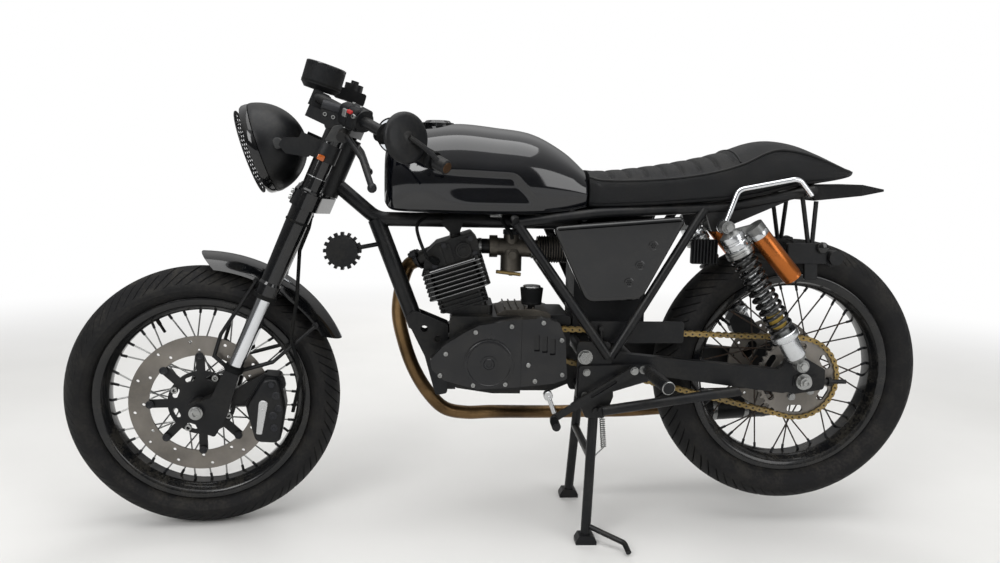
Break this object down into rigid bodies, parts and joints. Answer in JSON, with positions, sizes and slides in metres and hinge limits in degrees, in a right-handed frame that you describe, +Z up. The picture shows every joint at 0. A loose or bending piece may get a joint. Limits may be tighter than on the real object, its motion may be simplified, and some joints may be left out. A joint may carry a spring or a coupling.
{
  "type": "cafe racer motorcycle",
  "caption": "Cafe racer motorcycle with wire-spoked wheels, low bars, ribbed single seat, twin shocks and a side exhaust, parked on its centre stand.",
  "frame": {"origin": "centre of the rear wheel spindle, midway between its ends on the axis of its through bore; the floor is 365.5 mm below", "axes": "+X towards the front wheel, +Y to the left of the machine along the rear spindle, +Z up"},
  "size_m": [1.9358, 0.7564, 1.0435],
  "materials": {
    "black_metal": "satin",
    "black_gloss": "gloss",
    "black_gloss_paint": "gloss",
    "chrome": "polished",
    "steel": "satin",
    "grey_alloy": "satin",
    "dark_alloy": "satin",
    "bronze_pipe": "satin",
    "chain_brass": "satin",
    "orange_anodised": "satin",
    "black_plastic": "matte",
    "rubber": "matte",
    "tyre_rubber": "matte",
    "seat_leather": "satin",
    "lens_glass": "polished"
  },
  "bodies": {
    "chassis": {"frame": "black_metal", "swingarm": "dark_alloy", "rear_spindle": "steel", "crankcase": "black_metal", "engine_covers": "black_gloss", "cylinder": "black_metal", "cylinder_head": "black_metal", "carburettor": "grey_alloy", "breather_filter": "black_plastic", "exhaust_header": "bronze_pipe", "muffler": "grey_alloy", "fuel_tank": "black_gloss_paint", "fuel_cap": "chrome", "seat": "seat_leather", "tail_guard": "black_plastic", "side_covers": "black_plastic", "battery_box": "black_plastic", "grab_rails": "chrome", "tail_brackets": "black_metal", "drive_chain": "chain_brass", "chain_guard": "black_metal", "footrests": "dark_alloy", "foot_controls": "steel", "horn": "black_metal", "shock_bodies": "grey_alloy", "shock_springs": "black_metal", "shock_reservoirs": "orange_anodised", "rear_caliper": "black_metal"},
    "steering": {"lower_clamp": "black_metal", "top_clamp": "black_metal", "fork_tubes": "black_gloss", "fork_stanchions": "chrome", "fork_feet": "dark_alloy", "front_spindle": "steel", "front_mudguard": "black_gloss", "mudguard_stays": "black_metal", "brake_caliper": "black_metal", "brake_hose": "rubber", "headlamp": "black_gloss", "headlamp_lens": "lens_glass", "headlamp_grille": "black_metal", "lamp_brackets": "black_metal", "gauge": "black_plastic", "handlebar": "black_metal", "grips": "rubber", "bar_controls": "black_metal", "mirrors": "black_metal"},
    "front_wheel": {"front_tyre": "tyre_rubber", "front_wheel": "black_metal", "brake_disc": "steel", "disc_carrier": "black_metal"},
    "rear_wheel": {"rear_tyre": "tyre_rubber", "rear_wheel": "black_metal", "rear_sprocket": "steel", "rear_disc": "steel"},
    "stand": {"centre_stand": "black_metal"}
  },
  "joints": [
    {"name": "steering", "type": "hinge", "parent": "chassis", "child": "steering", "pos_m": [1.27205, 0, -0.09415], "axis": [-0.3963, 0, 0.9181], "range_deg": [-36.5, 23.5]},
    {"name": "front_wheel_spin", "type": "hinge", "parent": "steering", "child": "front_wheel", "pos_m": [1.33161, 0.00739, -0.06844], "axis": [-0.1039, 0.9936, -0.0449], "continuous": true},
    {"name": "rear_wheel_spin", "type": "hinge", "parent": "chassis", "child": "rear_wheel", "pos_m": [0, 0, 0], "axis": [0, 1, 0], "continuous": true},
    {"name": "centre_stand_fold", "type": "hinge", "parent": "chassis", "child": "stand", "pos_m": [0.4637, 0, -0.0667], "axis": [0, 1, 0], "range_deg": [0, 75]}
  ]
}
